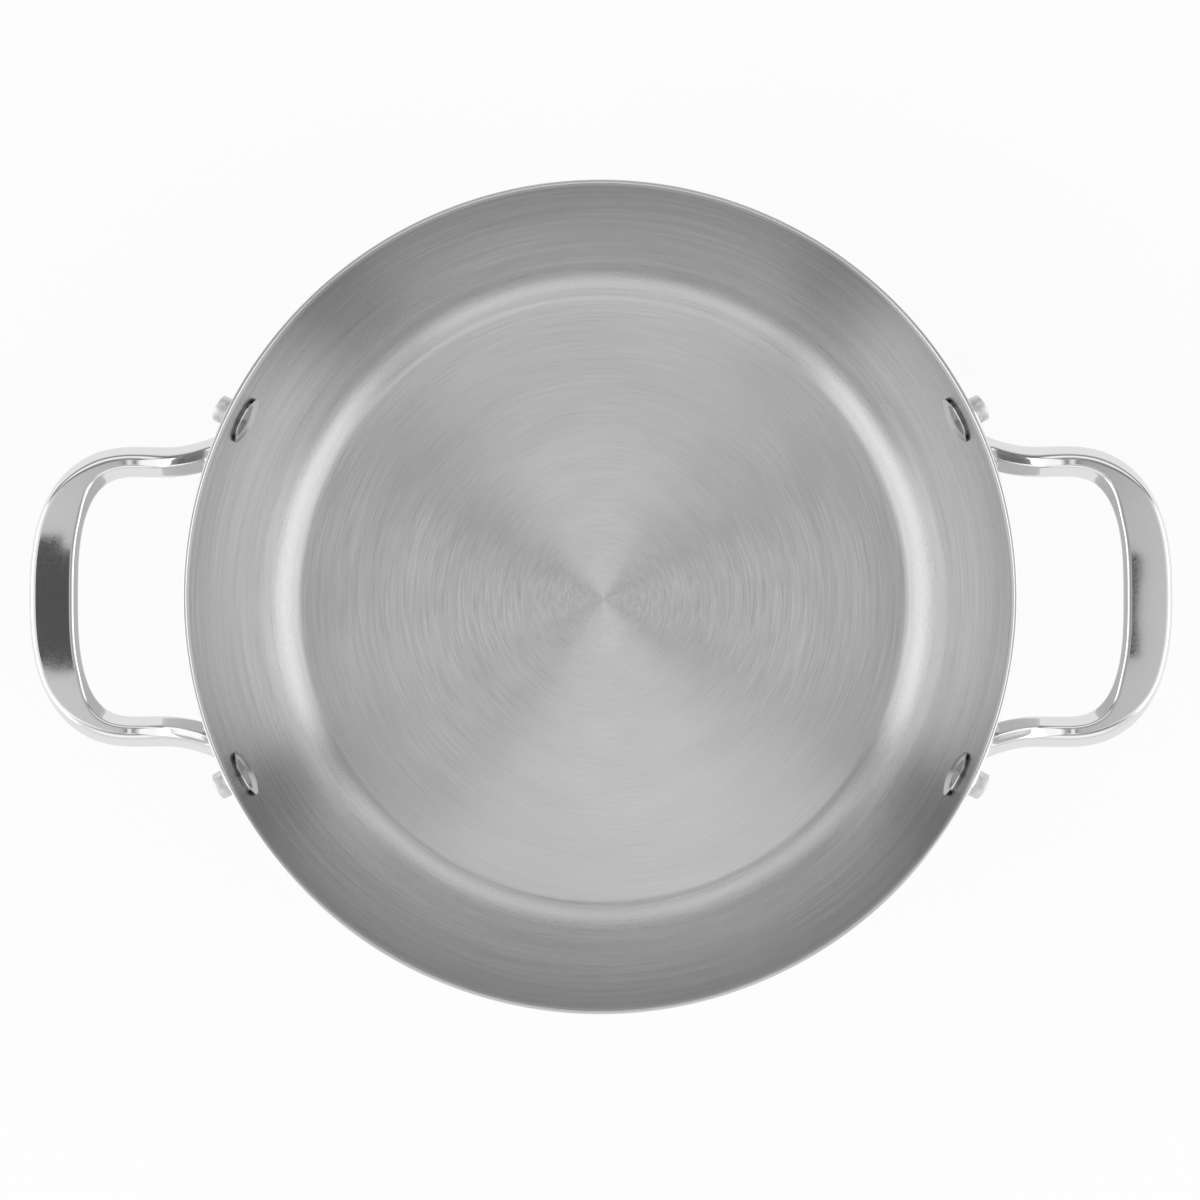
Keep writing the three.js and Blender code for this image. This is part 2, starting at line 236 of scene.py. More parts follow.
# a light tent: bright cloth at the left and right, softer at the front and back, with seams at the corners
def makeWorld():
    world = bpy.data.worlds.new("lightTent")
    scene.world = world
    world.use_nodes = True
    tree = world.node_tree
    coords = tree.nodes.new("ShaderNodeTexCoord")
    split = tree.nodes.new("ShaderNodeSeparateXYZ")
    tree.links.new(coords.outputs["Generated"], split.inputs["Vector"])
    x, y, z = split.outputs
    tilt = mathNode(tree, "ARCCOSINE", z)
    turn = mathNode(tree, "ARCTAN2", y, mathNode(tree, "ABSOLUTE", x))
    ends = mixNode(tree, angleRamp(tree, turn, studio["backShare"]),
                   angleRamp(tree, tilt, studio["front"]), angleRamp(tree, tilt, studio["back"]))
    toRight = mathNode(tree, "GREATER_THAN", x, 0.0)
    sideShare = mixNode(tree, toRight, angleRamp(tree, turn, studio["leftShare"]),
                        angleRamp(tree, turn, studio["rightShare"]))
    glow = mixNode(tree, sideShare, ends, angleRamp(tree, tilt, studio["sides"]))
    for seam in studio["seams"]:
        glow = mathNode(tree, "MULTIPLY", glow, seamNode(tree, tilt, turn, seam))
    height = mathNode(tree, "MAXIMUM", z, studio["boomLevel"])
    places = mathNode(tree, "DIVIDE", x, height), mathNode(tree, "DIVIDE", y, height)
    for window in studio["boom"]:
        shade = mathNode(tree, "MULTIPLY", windowNode(tree, places, window), studio["boomDark"])
        glow = mathNode(tree, "MULTIPLY", glow, mathNode(tree, "SUBTRACT", 1.0, shade))
    # past the floor's edge the camera sees plain white
    seen = tree.nodes.new("ShaderNodeLightPath").outputs["Is Camera Ray"]
    unseen = mathNode(tree, "MULTIPLY", glow, mathNode(tree, "SUBTRACT", 1.0, seen))
    tree.links.new(mathNode(tree, "ADD", unseen, seen), tree.nodes["Background"].inputs["Color"])


def makeFloor():
    mesh = bpy.data.meshes.new("floor")
    work = bmesh.new()
    bmesh.ops.create_circle(work, cap_ends=True, segments=studio["floorSides"],
                            radius=studio["floorRadius"])
    work.to_mesh(mesh)
    work.free()
    floor = bpy.data.objects.new("floor", mesh)
    floor.location.z = -studio["floorDrop"]
    scene.collection.objects.link(floor)
    material = bpy.data.materials.new("paleFloor")
    material.use_nodes = True
    tree = material.node_tree
    nodes, links = tree.nodes, tree.links
    nodes.clear()
    out = nodes.new("ShaderNodeOutputMaterial")
    matte = nodes.new("ShaderNodeBsdfDiffuse")
    matte.inputs["Color"].default_value = (*studio["floorWhite"], 1)
    glow = nodes.new("ShaderNodeEmission")
    mix = nodes.new("ShaderNodeMixShader")
    path = nodes.new("ShaderNodeLightPath")
    # the camera and the polished metal see the same pale floor
    seen = mathNode(tree, "MAXIMUM", path.outputs["Is Camera Ray"], path.outputs["Is Glossy Ray"])
    links.new(mathNode(tree, "MULTIPLY", seen, studio["floorShine"]), mix.inputs["Fac"])
    links.new(matte.outputs["BSDF"], mix.inputs[1])
    links.new(glow.outputs["Emission"], mix.inputs[2])
    links.new(mix.outputs["Shader"], out.inputs["Surface"])
    mesh.materials.append(material)
    floor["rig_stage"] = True


makeWorld()
makeFloor()
print("studio lit")


# shared finishes: each is a node group, placed in the materials with its own values
def newGroup(name, inputs, outputs):
    group = bpy.data.node_groups.new(name, "ShaderNodeTree")
    for label, value in inputs.items():
        socket = group.interface.new_socket(name=label, in_out="INPUT", socket_type="NodeSocketFloat")
        socket.default_value = value
    for label in outputs:
        group.interface.new_socket(name=label, in_out="OUTPUT", socket_type="NodeSocketFloat")
    source = group.nodes.new("NodeGroupInput")
    result = group.nodes.new("NodeGroupOutput")
    return group, source, result


def noiseNode(tree, vector, scale, detail, rough=0.5):
    node = tree.nodes.new("ShaderNodeTexNoise")
    node.inputs["Scale"].default_value = scale
    node.inputs["Detail"].default_value = detail
    node.inputs["Roughness"].default_value = rough
    tree.links.new(vector, node.inputs["Vector"])
    return node.outputs["Fac"]


# layers of the circular brushing: arcs and lines are shares of the group's Arcs and Fineness
brush = dict(
    fine=dict(arcs=1.0, lines=1.0),
    finer=dict(arcs=1.8, lines=1.6),
    bands=dict(arcs=0.5, lines=0.05),
    wall=dict(arcs=0.6, lines=0.16),
    climb=0.2,                   # how fast the lines follow each other up the wall, against the floor
    detail=2.0,
    middle=0.0001,               # least radius that still has a direction
    lineShare=0.7,               # of the lines in the colour; the bands have the rest
)
noiseLow, noiseHigh = 0.25, 0.75     # nearly all of a noise lies between


# fine lines round the pot's axis, on the floor and up the wall, and coarser ones for the wall alone
def makeCircularBrushing():
    group, source, result = newGroup(
        "circularBrushing", {"Fineness": 1400.0, "Arcs": 5.0}, ("Lines", "Bands", "Wall"))
    coords = group.nodes.new("ShaderNodeTexCoord")
    split = group.nodes.new("ShaderNodeSeparateXYZ")
    group.links.new(coords.outputs["Object"], split.inputs["Vector"])
    x, y, z = split.outputs
    square = mathNode(group, "ADD", mathNode(group, "MULTIPLY", x, x), mathNode(group, "MULTIPLY", y, y))
    radius = mathNode(group, "MAXIMUM", mathNode(group, "SQRT", square), brush["middle"])
    cosine = mathNode(group, "DIVIDE", x, radius)
    sine = mathNode(group, "DIVIDE", y, radius)
    # grows from the floor's middle to the rim
    along = mathNode(group, "ADD", radius, mathNode(group, "MULTIPLY", z, brush["climb"]))
    layers = {}
    for name, way in (("fine", along), ("finer", along), ("bands", along), ("wall", z)):
        arcCount = mathNode(group, "MULTIPLY", source.outputs["Arcs"], brush[name]["arcs"])
        lineCount = mathNode(group, "MULTIPLY", source.outputs["Fineness"], brush[name]["lines"])
        place = group.nodes.new("ShaderNodeCombineXYZ")
        group.links.new(mathNode(group, "MULTIPLY", cosine, arcCount), place.inputs["X"])
        group.links.new(mathNode(group, "MULTIPLY", sine, arcCount), place.inputs["Y"])
        group.links.new(mathNode(group, "MULTIPLY", way, lineCount), place.inputs["Z"])
        layers[name] = noiseNode(group, place.outputs["Vector"], scale=1.0, detail=brush["detail"])
    lines = mathNode(group, "MULTIPLY", mathNode(group, "ADD", layers["fine"], layers["finer"]), 0.5)
    group.links.new(lines, result.inputs["Lines"])
    group.links.new(layers["bands"], result.inputs["Bands"])
    group.links.new(layers["wall"], result.inputs["Wall"])
    return group


# soft unevenness and a haze of fine marks that a polishing wheel leaves
def makeWheelPolish():
    group, source, result = newGroup("wheelPolish", {"Ripples": 60.0, "Marks": 900.0}, ("Ripple", "Haze"))
    coords = group.nodes.new("ShaderNodeTexCoord")
    ripple = noiseNode(group, coords.outputs["Object"], scale=1.0, detail=1.0)
    group.links.new(source.outputs["Ripples"], ripple.node.inputs["Scale"])
    haze = noiseNode(group, coords.outputs["Object"], scale=1.0, detail=4.0, rough=0.6)
    group.links.new(source.outputs["Marks"], haze.node.inputs["Scale"])
    group.links.new(ripple, result.inputs["Ripple"])
    group.links.new(haze, result.inputs["Haze"])
    return group


circularBrushing = makeCircularBrushing()
wheelPolish = makeWheelPolish()


def newMaterial(name):
    material = bpy.data.materials.new(name)
    material.use_nodes = True
    tree = material.node_tree
    shader = tree.nodes["Principled BSDF"]
    shader.inputs["Metallic"].default_value = 1.0
    return material, tree, shader


def placeGroup(tree, group, values):
    node = tree.nodes.new("ShaderNodeGroup")
    node.node_tree = group
    for label, value in values.items():
        node.inputs[label].default_value = value
    return node


def rangeNode(tree, value, low, high):
    node = tree.nodes.new("ShaderNodeMapRange")
    node.inputs["From Min"].default_value = noiseLow
    node.inputs["From Max"].default_value = noiseHigh
    node.inputs["To Min"].default_value = low
    node.inputs["To Max"].default_value = high
    tree.links.new(value, node.inputs["Value"])
    return node.outputs["Result"]


def toneNode(tree, value, dark, light):
    node = tree.nodes.new("ShaderNodeValToRGB")
    node.color_ramp.elements[0].position = noiseLow
    node.color_ramp.elements[0].color = (*dark, 1)
    node.color_ramp.elements[1].position = noiseHigh
    node.color_ramp.elements[1].color = (*light, 1)
    tree.links.new(value, node.inputs["Fac"])
    return node.outputs["Color"]


def bumpNode(tree, height, strength, depth, shader):
    node = tree.nodes.new("ShaderNodeBump")
    node.inputs["Strength"].default_value = strength
    node.inputs["Distance"].default_value = depth
    tree.links.new(height, node.inputs["Height"])
    tree.links.new(node.outputs["Normal"], shader.inputs["Normal"])


# a value that follows the height on the pot, from stops of (height, value)
def heightNode(tree, stops):
    coords = tree.nodes.new("ShaderNodeTexCoord")
    split = tree.nodes.new("ShaderNodeSeparateXYZ")
    tree.links.new(coords.outputs["Object"], split.inputs["Vector"])
    ramp = tree.nodes.new("ShaderNodeValToRGB")
    tree.links.new(mathNode(tree, "DIVIDE", split.outputs["Z"], rimTop), ramp.inputs["Fac"])
    setStops(ramp, [(height / rimTop, value) for height, value in stops])
    return ramp.outputs["Color"]


# multiplies a colour by a share: the painted light and shade by height, times the wall's strokes
def paintedShadeNode(tree, colour, share):
    node = tree.nodes.new("ShaderNodeMix")
    node.data_type = "RGBA"
    node.blend_type = "MULTIPLY"
    sockets = {socket.identifier: socket for socket in node.inputs}
    sockets["Factor_Float"].default_value = 1.0
    tree.links.new(colour, sockets["A_Color"])
    tree.links.new(share, sockets["B_Color"])
    return next(socket for socket in node.outputs if socket.identifier == "Result_Color")


# rough holds stops of (height, roughness), and swing is how far the lines vary it; where a look has
# painted shading stops, these stops of (height, share) scale the colour as painted light and shade, and
# wallLines says how strong the wall's own lines are
def brushedSteel(name, look):
    material, tree, shader = newMaterial(name)
    brushing = placeGroup(tree, circularBrushing, {"Fineness": look["fineness"], "Arcs": look["arcs"]})
    lines = brushing.outputs["Lines"]
    linePart = mathNode(tree, "MULTIPLY", lines, brush["lineShare"])
    bandPart = mathNode(tree, "MULTIPLY", brushing.outputs["Bands"], 1 - brush["lineShare"])
    tone = toneNode(tree, mathNode(tree, "ADD", linePart, bandPart), look["dark"], look["light"])
    # painted light and shade: the colour is scaled by height, lighter round the top of the fillet and
    # darker towards the rim
    if "paintedShading" in look:
        strokes = rangeNode(tree, brushing.outputs["Wall"], -1.0, 1.0)
        strokes = mathNode(tree, "MULTIPLY", strokes, heightNode(tree, look["wallLines"]))
        strokes = mathNode(tree, "ADD", strokes, 1.0)
        tone = paintedShadeNode(tree, tone, mathNode(tree, "MULTIPLY", heightNode(tree, look["paintedShading"]), strokes))
    tree.links.new(tone, shader.inputs["Base Color"])
    swing = rangeNode(tree, lines, -look["swing"], look["swing"])
    rough = mathNode(tree, "ADD", heightNode(tree, look["rough"]), swing)
    tree.links.new(rough, shader.inputs["Roughness"])
    bumpNode(tree, lines, look["bump"], look["depth"], shader)
    shader.inputs["Anisotropic"].default_value = look["stretch"]
    shader.inputs["Anisotropic Rotation"].default_value = 0.25       # a quarter turn, across the lines
    tangent = tree.nodes.new("ShaderNodeTangent")
    tangent.direction_type = "RADIAL"
    tangent.axis = "Z"
    tree.links.new(tangent.outputs["Tangent"], shader.inputs["Tangent"])
    return material


def polishedSteel(name, look):
    material, tree, shader = newMaterial(name)
    polish = placeGroup(tree, wheelPolish, {"Ripples": look["ripples"], "Marks": look["marks"]})
    haze = polish.outputs["Haze"]
    tree.links.new(toneNode(tree, haze, look["dark"], look["light"]), shader.inputs["Base Color"])
    tree.links.new(rangeNode(tree, haze, *look["rough"]), shader.inputs["Roughness"])
    bumpNode(tree, polish.outputs["Ripple"], look["bump"], look["depth"], shader)
    return material


# piece builders
def addPiece(name, vertices, faces, materials, finishes, nodes):
    mesh = bpy.data.meshes.new(name)
    mesh.from_pydata(vertices, [], faces)
    for material in materials:
        mesh.materials.append(material)
    mesh.polygons.foreach_set("material_index", finishes)
    mesh.polygons.foreach_set("use_smooth", [True] * len(faces))
    mesh.validate()
    mesh.update()
    piece = bpy.data.objects.new(name, mesh)
    scene.collection.objects.link(piece)
    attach(piece, "root")
    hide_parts(*nodes)


# turns a profile of (radius, height, finish) points round Z, from axis to axis
def turned(profile, turns):
    vertices, rings = [], []
    for radius, height, _ in profile:
        count = turns if radius > 0 else 1
        rings.append(range(len(vertices), len(vertices) + count))
        for j in range(count):
            angle = 2 * math.pi * j / turns
            vertices.append((radius * math.cos(angle), radius * math.sin(angle), height))
    faces, finishes = [], []
    for (here, there), (_, _, finish) in zip(zip(rings, rings[1:]), profile):
        for j in range(turns):
            after = (j + 1) % turns
            corners = [here[j % len(here)], here[after % len(here)],
                       there[after % len(there)], there[j % len(there)]]
            faces.append(list(dict.fromkeys(corners)))      # three corners at the axis
            finishes.append(finish)
    return vertices, faces, finishes


# pot shell: one drawn sheet, brushed inside, satin outside, cut edge at the rim
pot = dict(
    wall=0.0011,
    taper=5.5,                   # degrees, wider at the rim
    fillet=0.013,
    rimRound=0.0004,
    turns=320,
    floorRings=16,
    filletSteps=30,
    wallSteps=40,
    rimSteps=8,
    inside=dict(fineness=2000, arcs=3.6, dark=(0.56, 0.56, 0.558), light=(0.75, 0.75, 0.747),
                rough=[(0.0, 0.165), (0.00695, 0.165), (0.0074, 0.27), (0.016, 0.3), (0.03, 0.2),
                       (0.118, 0.18)],
                swing=0.03, bump=0.02, depth=0.00005, stretch=1.0,
                # painted light and shade by height: lighter round the top of the fillet, a third darker at
                # the rim
                paintedShading=[(0.0, 1.0), (0.009, 1.0), (0.0125, 1.1), (0.0157, 1.2), (0.02, 1.08), (0.03, 0.95),
                      (0.075, 0.86), (0.118, 0.67)],
                wallLines=[(0.0, 0.0), (0.018, 0.0), (0.035, 0.12), (0.118, 0.12)]),
    outside=dict(fineness=3000, arcs=5, dark=(0.54, 0.54, 0.537), light=(0.62, 0.62, 0.617),
                 rough=[(0.0, 0.21), (0.118, 0.21)], swing=0.05, bump=0.05, depth=0.00005, stretch=0.7),
    rim=dict(fineness=3600, arcs=8, dark=(0.62, 0.62, 0.617), light=(0.7, 0.7, 0.697),
             rough=[(0.0, 0.18), (0.118, 0.18)], swing=0.04, bump=0.03, depth=0.00005, stretch=0.3),
)
taper = math.radians(pot["taper"])
floorTop = floorUnder + pot["wall"]
filletTop = floorTop + pot["fillet"]
rimMiddle = rimTop - pot["rimRound"]


def outerRadiusAt(z):
    return rimOut - (rimMiddle - z) * math.tan(taper)


def innerRadiusAt(z):
    return outerRadiusAt(z) - pot["wall"] / math.cos(taper)


floorRadius = innerRadiusAt(filletTop) - pot["fillet"] / math.cos(taper)


def makePotShell():
    corner = (floorRadius, filletTop)
    rimRound = pot["rimRound"]
    steps = pot["filletSteps"]
    outside = arc(corner, pot["fillet"] + pot["wall"], -90, -pot["taper"], steps)
    rim = arc((outerRadiusAt(rimMiddle) - rimRound, rimMiddle), rimRound, 0, 90, pot["rimSteps"])
    rim += arc((innerRadiusAt(rimMiddle) + rimRound, rimMiddle), rimRound, 90, 180, pot["rimSteps"])
    inside = arc(corner, pot["fillet"], -pot["taper"], -90, steps)
    outside = [(0, floorUnder)] + outside + between(outside[-1], rim[0], pot["wallSteps"])
    inside = between(rim[-1], inside[0], pot["wallSteps"]) + inside
    inside += between((floorRadius, floorTop), (0, floorTop), pot["floorRings"]) + [(0, floorTop)]
    # finishes: 0 inside, 1 outside, 2 rim
    profile = [(r, z, 1) for r, z in outside]
    profile += [(r, z, 2) for r, z in rim]
    profile += [(r, z, 0) for r, z in inside]
    vertices, faces, finishes = turned(profile, pot["turns"])
    materials = [brushedSteel("insideSteel", pot["inside"]), brushedSteel("outsideSteel", pot["outside"]),
                 brushedSteel("rimSteel", pot["rim"])]
    addPiece("pot_shell", vertices, faces, materials, finishes, ["pot_body"])


makePotShell()
print("pot shell turned")


# base: the cap pressed round the core, with turned rings underneath; the core stays the CAD solid
base = dict(
    corner=0.0024,
    sheet=0.0008,
    lipRound=0.0003,
    lipGap=0.00004,              # to the shell
    turns=256,
    cornerSteps=12,
    underRings=10,
    lipSteps=5,
    cap=dict(fineness=1500, arcs=3, dark=(0.46, 0.46, 0.457), light=(0.56, 0.56, 0.557),
             rough=[(0.0, 0.3), (0.118, 0.3)], swing=0.06, bump=0.1, depth=0.00006, stretch=0.7),
    core=dict(ripples=120, marks=700, dark=(0.52, 0.53, 0.54), light=(0.62, 0.63, 0.64),
              rough=(0.38, 0.52), bump=0.08, depth=0.0001),
)


def makeBase():
    outside = capHigh.y
    inside = outside - base["sheet"]
    lip = floorUnder - base["lipGap"]
    corner = base["corner"]
    lipRound = base["lipRound"]
    under = [(0, 0)] + between((0, 0), (outside - corner, 0), base["underRings"])
    side = arc((outside - corner, corner), corner, -90, 0, base["cornerSteps"])
    edge = arc((outside - lipRound, lip - lipRound), lipRound, 0, 90, base["lipSteps"])
    top = [(inside, lip), (inside, coreLow.z), (0, coreLow.z)]
    profile = [(r, z, 0) for r, z in under + side + edge + top]
    vertices, faces, finishes = turned(profile, base["turns"])
    material = brushedSteel("capSteel", base["cap"])
    addPiece("base_plate", vertices, faces, [material], finishes, ["base_cap"])
    core = frame["nodes"]["core_disc"]
    core.data.materials.clear()
    core.data.materials.append(polishedSteel("coreAluminium", base["core"]))


makeBase()
print("base pressed on")


# handle: a polished casting with a foot at each end
handle = dict(
    fingerDepth=0.031, gripWidth=0.01498, legSpan=0.0783, legWidth=0.0099, legStraight=0.014,
    outerSquareness=2.45, innerSquareness=2.85,
    flareStart=0.008, flareRadius=0.029, heelRadius=0.035,
    gripDrop=0.003, thickness=0.008, riseAngle=33.0, bendStart=0.0175, bendRadius=0.022,
    legShoulder=0.0033, gripOuterShoulder=0.0018, gripInnerShoulder=0.001,
    waistDrop=0.005, undersideInset=0.0025,
    topEdgeRound=0.0007, legOuterRound=0.0015, waistRound=0.002, undersideRound=0.0026, roundShare=0.4,
    blend=(20.0, 62.0),          # degrees round the corner where the leg's section turns into the grip's
    footGap=0.0001, footThickness=0.0028, footRadius=0.0085, footMargin=0.0013, footEdgeRound=0.0008,
    rootFillet=0.0022, filletReach=0.7,      # the fillet takes at most this share of the foot's face
    rivetSink=0.0003, headMargin=0.0014, headDiameter=0.008,     # where the rivet goes through the foot
    roundPoints=7,
    sidePoints=(0.06, 0.5, 0.94),        # places along a flat side, near its ends so that it shades flat
    backRings=4, edgeSteps=5, faceRings=4, filletRings=6, legRings=24, cornerRings=36,
    stride=0.001, halvings=40,           # of the searches for the leg's root and the foot's edge
    finish=dict(ripples=55, marks=1600, dark=(0.72, 0.72, 0.717), light=(0.77, 0.77, 0.767),
                rough=(0.015, 0.045), bump=0.03, depth=0.0004),
)
rimOuter = rimOut + pot["rimRound"] * math.tan(taper)
cornerX = rimOuter + handle["legStraight"]
gripTop = rimTop - handle["gripDrop"]
riseAngle = math.radians(handle["riseAngle"])
bendX = rimOuter + handle["bendStart"]
bendEndX = bendX - handle["bendRadius"] * math.sin(riseAngle)


# section of the bar: (across, down) points from the finger side's top edge round to the top face
def barSection(width, outerShoulder, innerShoulder, outerRound):
    thick = handle["thickness"]
    inset = handle["undersideInset"]
    corners = [
        (Vector((innerShoulder, 0)), handle["topEdgeRound"]),
        (Vector((0, handle["waistDrop"])), handle["waistRound"]),
        (Vector((inset, thick)), handle["undersideRound"]),
        (Vector((width - inset, thick)), handle["undersideRound"]),
        (Vector((width, handle["waistDrop"])), handle["waistRound"]),
        (Vector((width - outerShoulder, 0)), outerRound),
    ]
    arcs = []
    for i, (at, roundness) in enumerate(corners):
        ends = []
        for other in (corners[i - 1][0], corners[(i + 1) % len(corners)][0]):
            side = other - at
            ends.append(at + side.normalized() * min(roundness, handle["roundShare"] * side.length))
        steps = handle["roundPoints"] - 1
        arcs.append([bezier(ends[0], at, ends[1], k / steps) for k in range(steps + 1)])
    points = []
    for i, bend in enumerate(arcs):
        points += bend
        after = arcs[(i + 1) % len(arcs)][0]
        points += [bend[-1].lerp(after, t) for t in handle["sidePoints"]]
    return points


def spread(x, radius):
    return max(0.0, rimOuter + handle["flareStart"] - x) ** 2 / (2 * radius)


# height of a point of the bar at a distance x from the axis; down counts from the top face
def barHeight(x, down):
    slope = 0.0
    drop = 0.0
    if x < bendX:
        slope = math.asin((bendX - x) / handle["bendRadius"]) if x > bendEndX else riseAngle
        drop = handle["bendRadius"] * (1 - math.cos(slope)) + max(0.0, bendEndX - x) * math.tan(riseAngle)
    return gripTop - drop - down / math.cos(slope)


# a point of a leg; across is 0 on the finger side and 1 on the outer side
def legPoint(x, across, down):
    innerY = (handle["legSpan"] - handle["legWidth"]) / 2 + spread(x, handle["heelRadius"])
    outerY = (handle["legSpan"] + handle["legWidth"]) / 2 + spread(x, handle["flareRadius"])
    return Vector((x, lerp(innerY, outerY, across), barHeight(x, down)))


def footFaceAt(z):
    return outerRadiusAt(z) + handle["footGap"] + handle["footThickness"]


# halves a stretch from a good value to a bad one until it is down to where the test turns
def turningPoint(passes, good, bad):
    for _ in range(handle["halvings"]):
        middle = (good + bad) / 2
        if passes(middle):
            good = middle
        else:
            bad = middle
    return good


# where a line along the leg, followed towards the pot, meets the foot's outer face
def rootX(across, down):
    def clear(x):
        point = legPoint(x, across, down)
        return math.hypot(point.x, point.y) > footFaceAt(point.z)
    stride = handle["stride"]
    x = cornerX
    while clear(x - stride):
        x -= stride
    return turningPoint(clear, x, x - stride)


# the foot is drawn flat, as distance along the wall and height, then laid on the wall
legShoulder = handle["legShoulder"]
legSection = barSection(handle["legWidth"], legShoulder, legShoulder, handle["legOuterRound"])
legLines = [(p.x / handle["legWidth"], p.y) for p in legSection]
rootLines = [(rootX(across, down), across, down) for across, down in legLines]
rootMiddle = legPoint(rootX(0.5, handle["thickness"] / 2), 0.5, handle["thickness"] / 2)
footFace = footFaceAt(rootMiddle.z)


def flatOf(point):
    return Vector((footFace * math.atan2(point.y, point.x), point.z))


def onWall(flat, standOff):
    angle = flat.x / footFace
    radius = outerRadiusAt(flat.y) + handle["footGap"] + standOff
    return Vector((radius * math.cos(angle), radius * math.sin(angle), flat.y))


rootFlat = [flatOf(legPoint(*line)) for line in rootLines]
rootLeft = min(p.x for p in rootFlat)
rootRight = max(p.x for p in rootFlat)
rootLow = min(p.y for p in rootFlat)
rootHigh = max(p.y for p in rootFlat)
rivetFlat = Vector((rootRight + handle["headMargin"] + handle["headDiameter"] / 2,
                    rootMiddle.z - handle["rivetSink"]))
heelRadius = (rootHigh - rootLow) / 2 + handle["footMargin"]
heelFlat = Vector((rootLeft - handle["footMargin"] + heelRadius, (rootHigh + rootLow) / 2))
footMiddle = (heelFlat + rivetFlat) / 2


# how far a flat point lies inside the belt round the heel and rivet circles
def beltDepth(point):
    axis = rivetFlat - heelFlat
    length = axis.length
    offset = point - heelFlat
    along = offset.dot(axis) / length
    aside = abs(offset.x * axis.y - offset.y * axis.x) / length
    lean = (handle["footRadius"] - heelRadius) / length
    slide = min(1.0, max(0.0, (along + aside * lean / math.sqrt(1 - lean * lean)) / length))
    return lerp(heelRadius, handle["footRadius"], slide) - (point - heelFlat - axis * slide).length


# spoke of the foot's edge that belongs to a point of the section; the middle of the top face points up
def footEdge(index, count):
    upIndex = count - (len(handle["sidePoints"]) + 1) / 2
    angle = math.pi / 2 + 2 * math.pi * (index - upIndex) / count
    spoke = Vector((math.cos(angle), math.sin(angle)))
    farOff = (rivetFlat - heelFlat).length + handle["footRadius"] + heelRadius
    return footMiddle + spoke * turningPoint(lambda d: beltDepth(footMiddle + spoke * d) > 0, 0.0, farOff)


def footRings():
    count = len(rootFlat)
    thick = handle["footThickness"]
    edgeRound = handle["footEdgeRound"]
    edge = [footEdge(j, count) for j in range(count)]
    inward = [(footMiddle - flat).normalized() for flat in edge]
    rings = []
    for i in range(1, handle["backRings"] + 1):
        rings.append([onWall(footMiddle.lerp(flat, i / handle["backRings"]), 0.0) for flat in edge])
    for i in range(handle["edgeSteps"] + 1):
        angle = math.pi / 2 * i / handle["edgeSteps"]
        inset = edgeRound * (1 - math.cos(angle))
        standOff = thick - edgeRound + edgeRound * math.sin(angle)
        rings.append([onWall(flat + way * inset, standOff) for flat, way in zip(edge, inward)])
    face = [flat + way * edgeRound for flat, way in zip(edge, inward)]
    # the face runs up to a small fillet at the root of the leg
    reach = []
    stops = []
    for flat, root in zip(face, rootFlat):
        gap = (flat - root).length
        reach.append(min(handle["rootFillet"], handle["filletReach"] * gap))
        stops.append(root.lerp(flat, reach[-1] / gap))
    for i in range(1, handle["faceRings"] + 1):
        t = i / handle["faceRings"]
        rings.append([onWall(flat.lerp(stop, t), thick) for flat, stop in zip(face, stops)])
    starts = [(x + away, across, down) for (x, across, down), away in zip(rootLines, reach)]
    for i in range(1, handle["filletRings"] + 1):
        t = i / handle["filletRings"]
        ring = []
        for stop, line, start in zip(stops, rootLines, starts):
            ring.append(bezier(onWall(stop, thick), legPoint(*line), legPoint(*start), t))
        rings.append(ring)
    return rings, starts


def legRings(starts):
    rings = []
    for i in range(1, handle["legRings"] + 1):
        t = i / handle["legRings"]
        rings.append([legPoint(lerp(x, cornerX, t), across, down) for x, across, down in starts])
    return rings


# rounded corner outline: angle 0 ends the leg, a quarter turn is the middle of the grip
def cornerPoint(angle, reach, halfSpan, squareness):
    sine = max(0.0, math.sin(angle)) ** (2 / squareness)
    cosine = max(0.0, math.cos(angle)) ** (2 / squareness)
    return Vector((cornerX + reach * sine, halfSpan * cosine))


def cornerRings():
    rings = []
    innerReach = handle["fingerDepth"] - handle["legStraight"]
    halfInner = (handle["legSpan"] - handle["legWidth"]) / 2
    halfOuter = (handle["legSpan"] + handle["legWidth"]) / 2
    for i in range(1, handle["cornerRings"] + 1):
        degrees = 90 * i / handle["cornerRings"]
        angle = math.radians(degrees)
        inner = cornerPoint(angle, innerReach, halfInner, handle["innerSquareness"])
        outer = cornerPoint(angle, innerReach + handle["gripWidth"], halfOuter, handle["outerSquareness"])
        width = (outer - inner).length
        blend = smoothStep(degrees, *handle["blend"])
        outerShoulder = lerp(handle["legShoulder"], handle["gripOuterShoulder"], blend)
        innerShoulder = lerp(handle["legShoulder"], handle["gripInnerShoulder"], blend)
        outerRound = lerp(handle["legOuterRound"], handle["topEdgeRound"], blend)
        ring = []
        for p in barSection(width, outerShoulder, innerShoulder, outerRound):
            plan = inner.lerp(outer, p.x / width)
            ring.append(Vector((plan.x, plan.y, barHeight(plan.x, p.y))))
        rings.append(ring)
    return rings


# closed skin over a row of rings, with a point in the middle of each end
def skinned(rings, firstTip, lastTip):
    count = len(rings[0])
    vertices = [p for ring in rings for p in ring] + [firstTip, lastTip]
    tip = len(rings) * count
    faces = []
    for j in range(count):
        after = (j + 1) % count
        faces.append((tip, after, j))
        for here in range(0, tip - count, count):
            faces.append((here + j, here + after, here + count + after, here + count + j))
        faces.append((tip + 1, tip - count + j, tip - count + after))
    return vertices, faces


